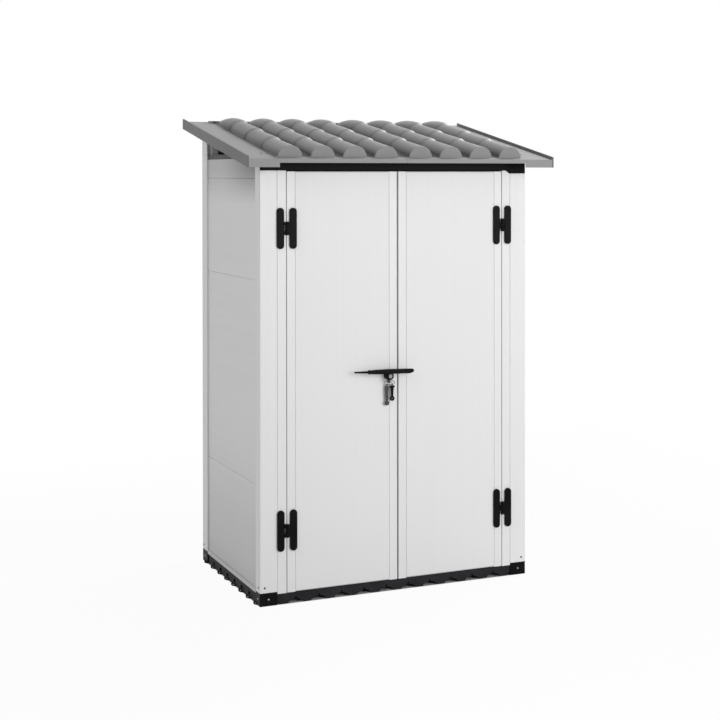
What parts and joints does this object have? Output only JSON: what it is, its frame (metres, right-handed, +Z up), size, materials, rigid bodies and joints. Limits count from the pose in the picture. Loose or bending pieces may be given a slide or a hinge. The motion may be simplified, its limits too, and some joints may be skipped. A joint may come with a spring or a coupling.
{
  "type": "garden shed",
  "caption": "White modular plastic garden shed with hinged front doors, a turning latch with keys, an interlocking tile floor and a sloped grey roof with half-round tile rows.",
  "frame": {"origin": "on the ground, under the middle of the roof outline", "axes": "+Z up, the doors face -Y, +X to the right when looking at the doors"},
  "size_m": [1.344, 0.91, 1.9413],
  "materials": {
    "floor_grey": "textured black-grey moulded plastic",
    "zinc_screw": "zinc plated",
    "dark_screw": "black",
    "grey_screw": "dark grey",
    "black_fitting": "black moulded plastic",
    "dark_rail": "dark grey extruded plastic",
    "post_white": "white extruded plastic, low sheen",
    "wall_white": "white extruded plastic, low sheen",
    "door_white": "white extruded plastic, smooth",
    "stile_white": "white extruded plastic, smooth",
    "cap_grey": "light grey moulded plastic",
    "hinge_black": "black nylon, fine grain",
    "hinge_pin": "black",
    "latch_black": "black nylon, satin",
    "lock_metal": "nickel plated",
    "ring_metal": "steel wire",
    "key_grey": "dark grey coated",
    "key_black": "black coated",
    "roof_grey": "grey moulded plastic, fine grain"
  },
  "bodies": {
    "cabin": {"floor_tile_1": "floor_grey", "floor_tile_2": "floor_grey", "floor_tile_3": "floor_grey", "floor_tile_4": "floor_grey", "floor_tile_5": "floor_grey", "floor_tile_6": "floor_grey", "base_block_front_left": "black_fitting", "base_block_front_right": "black_fitting", "base_block_back_left": "black_fitting", "base_block_back_right": "black_fitting", "base_screws": "zinc_screw", "post_screws": "dark_screw", "post_front_left": "post_white", "post_front_right": "post_white", "post_back_left": "post_white", "post_back_right": "post_white", "jamb_left": "post_white", "jamb_right": "post_white", "header": "black_fitting", "top_block_left": "black_fitting", "top_block_right": "black_fitting", "side_rail_left": "dark_rail", "side_rail_right": "dark_rail", "roof_beam": "dark_rail", "left_board_1": "wall_white", "left_board_2": "wall_white", "left_board_3": "wall_white", "left_board_4": "wall_white", "right_board_1": "wall_white", "right_board_2": "wall_white", "right_board_3": "wall_white", "right_board_4": "wall_white", "back_board_1": "wall_white", "back_board_2": "wall_white", "back_board_3": "wall_white", "back_board_4": "wall_white", "left_frame_hinges": "hinge_black", "right_frame_hinges": "hinge_black", "hinge_pins": "hinge_pin", "roof_left": "roof_grey", "roof_right": "roof_grey", "roof_screws": "grey_screw"},
    "left_door": {"left_door_panel": "door_white", "left_door_hinge_stile": "stile_white", "left_door_meeting_stile": "stile_white", "left_door_top_cap": "cap_grey", "left_door_bottom_cap": "cap_grey", "left_door_hinges": "hinge_black", "latch_plate": "latch_black"},
    "right_door": {"right_door_panel": "door_white", "right_door_hinge_stile": "stile_white", "right_door_meeting_stile": "stile_white", "right_door_top_cap": "cap_grey", "right_door_bottom_cap": "cap_grey", "right_door_hinges": "hinge_black"},
    "latch": {"latch_lever": "latch_black"},
    "lock": {"lock_cylinder": "lock_metal"},
    "keys": {"key_ring": "ring_metal", "long_key": "key_grey", "short_key": "key_black"}
  },
  "joints": [
    {"name": "left_door_swing", "type": "hinge", "parent": "cabin", "child": "left_door", "pos_m": [-0.478, -0.364, 0.886], "axis": [0, 0, -1], "range_deg": [0, 170]},
    {"name": "right_door_swing", "type": "hinge", "parent": "cabin", "child": "right_door", "pos_m": [0.478, -0.364, 0.886], "axis": [0, 0, 1], "range_deg": [0, 170]},
    {"name": "latch_turn", "type": "hinge", "parent": "left_door", "child": "latch", "pos_m": [-0.0465, -0.375, 0.8775], "axis": [0, 1, 0], "range_deg": [-90, 0]},
    {"name": "lock_turn", "type": "hinge", "parent": "latch", "child": "lock", "pos_m": [-0.0465, -0.385, 0.8775], "axis": [0, -1, 0], "range_deg": [0, 90]},
    {"name": "keys_swing", "type": "hinge", "parent": "left_door", "child": "keys", "pos_m": [-0.042, -0.367, 0.8521], "axis": [0, 1, 0], "range_deg": [-20, 20]}
  ],
  "couplings": [
    {"joint": "right_door_swing", "follows": "left_door_swing", "ratio": 1}
  ]
}
